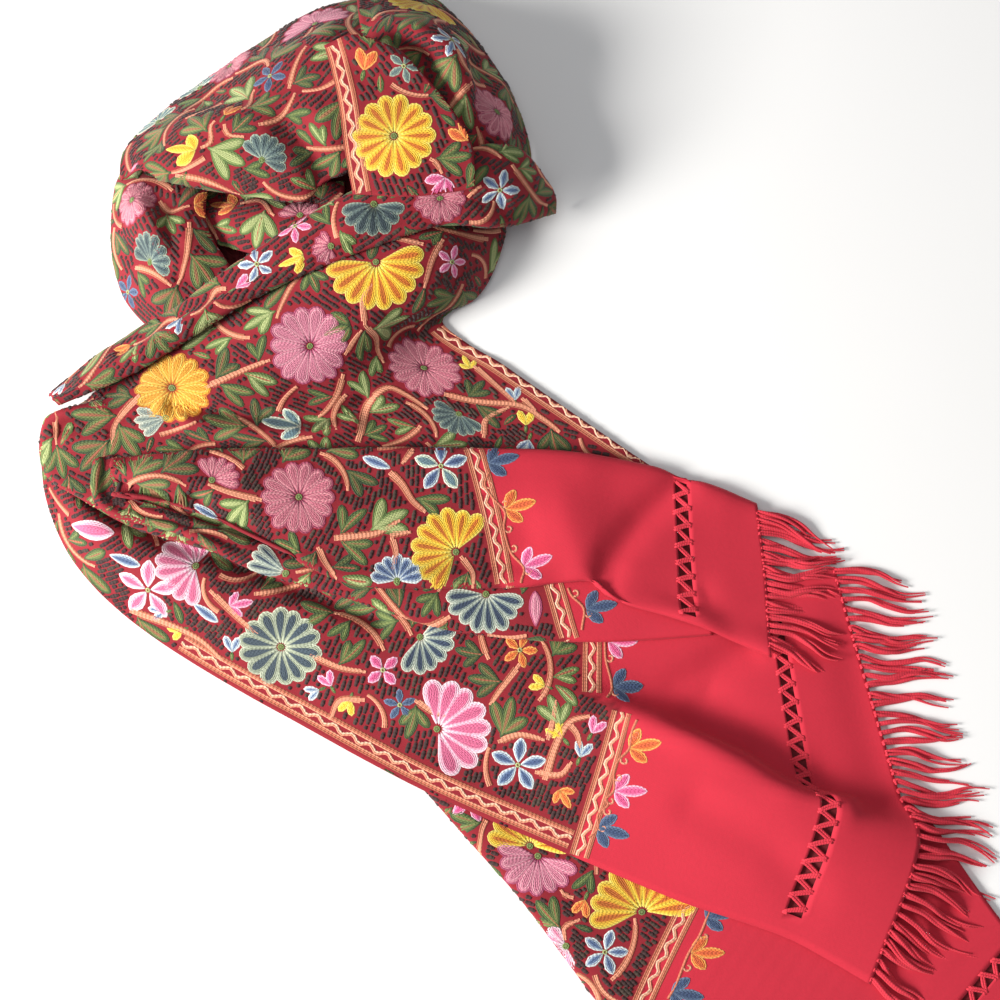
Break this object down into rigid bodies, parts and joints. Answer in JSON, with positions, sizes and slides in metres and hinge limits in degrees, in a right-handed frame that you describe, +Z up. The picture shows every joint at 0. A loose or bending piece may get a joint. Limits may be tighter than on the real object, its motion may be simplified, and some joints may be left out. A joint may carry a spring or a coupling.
{
  "type": "embroidered pashmina shawl",
  "caption": "Red wool shawl with crewel-embroidered field, drawn-thread bands and fringed plain ends, dropped in a twisted bundle with its pleats fanned out.",
  "frame": {"origin": "middle of the footprint, on the surface the shawl lies on", "axes": "+Z up from the surface; +Y towards the twisted bundle; +X towards the side where the plain fringed ends fan out"},
  "size_m": [0.751, 0.8812, 0.0886],
  "materials": {
    "embroidered_wool": "soft matt wool twill, chain stitched in coloured wools",
    "fringe_wool": "twisted wool locks",
    "hidden_folds": "soft matt wool, in shade"
  },
  "bodies": {
    "root": {"bundle_core": "hidden_folds", "fan_core": "hidden_folds", "under_end": "embroidered_wool", "under_end_fringe": "fringe_wool", "front_end": "embroidered_wool", "front_end_fringe": "fringe_wool", "inner_roll": "embroidered_wool", "left_rim": "embroidered_wool", "body": "embroidered_wool", "inner_pleat": "embroidered_wool", "top_end": "embroidered_wool", "top_end_fringe": "fringe_wool", "dome": "embroidered_wool", "crown": "embroidered_wool", "cross_band": "embroidered_wool", "corner_flap": "embroidered_wool"}
  },
  "joints": []
}
